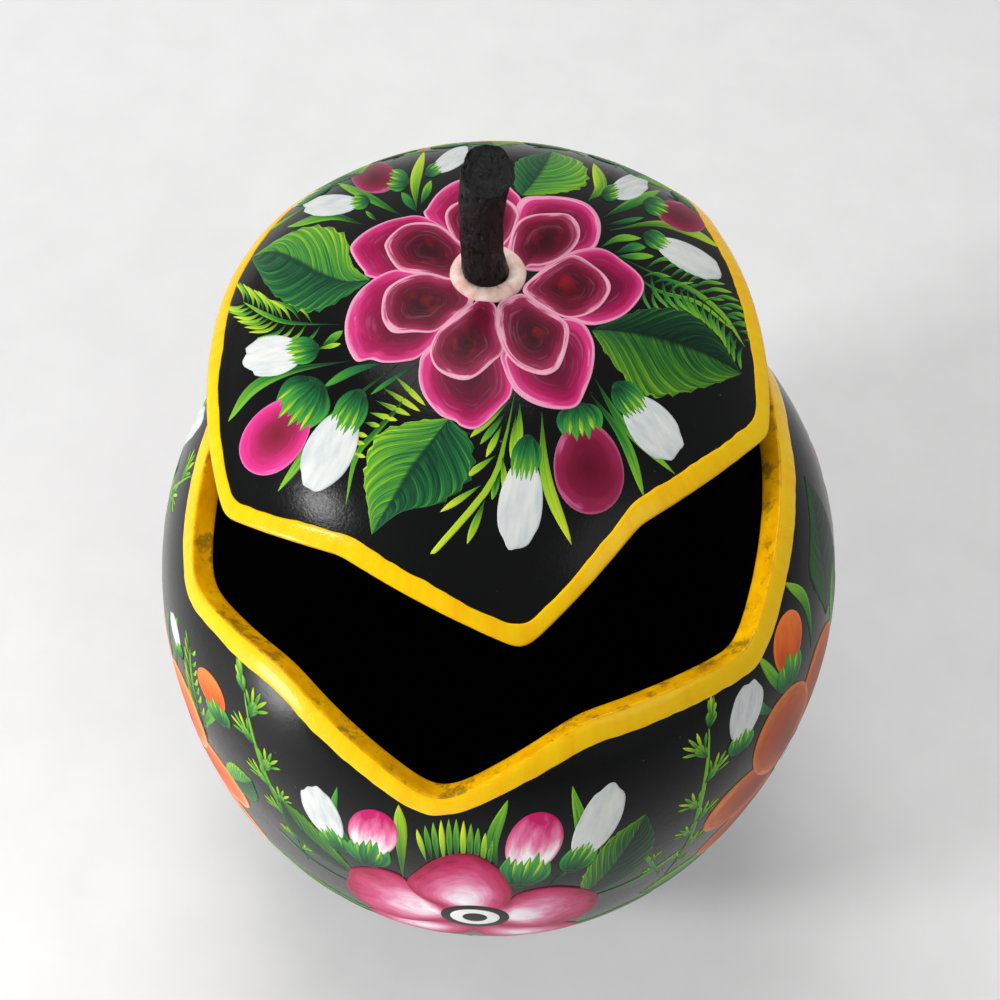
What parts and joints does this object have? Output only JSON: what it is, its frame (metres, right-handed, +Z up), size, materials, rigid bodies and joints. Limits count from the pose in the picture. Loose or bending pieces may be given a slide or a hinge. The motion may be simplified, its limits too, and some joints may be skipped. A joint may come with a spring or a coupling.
{
  "type": "lidded gourd box",
  "caption": "Round gourd box sawn along a zigzag into bowl and lid, black lacquer with painted flowers, yellow rims, natural stem; the lid lies ajar and lifts off.",
  "frame": {"origin": "middle of the flat spot that the bowl stands on", "axes": "+Z up, -Y towards the front that shows the open side, +X to the right seen from the front"},
  "size_m": [0.17, 0.1813, 0.2374],
  "materials": {
    "lacquer": "black lacquer on dried gourd skin, satin",
    "rim_paint": "thick yellow enamel, gloss, scuffed on the sawn face",
    "stem": "rough natural stem, blackened, matte",
    "collar_paint": "cream paint, matte",
    "ornament_paint": "hand-painted flowers and leaves under a satin varnish"
  },
  "bodies": {
    "bowl": {"bowl_shell": "lacquer", "bowl_rim_band": "rim_paint"},
    "lid": {"lid_shell": "lacquer", "lid_rim_band": "rim_paint", "stem": "stem", "stem_collar": "collar_paint"}
  },
  "joints": [
    {"name": "lid_lift", "type": "slide", "parent": "bowl", "child": "lid", "axis": [0, 0, 1], "range_m": [0, 0.1]}
  ]
}
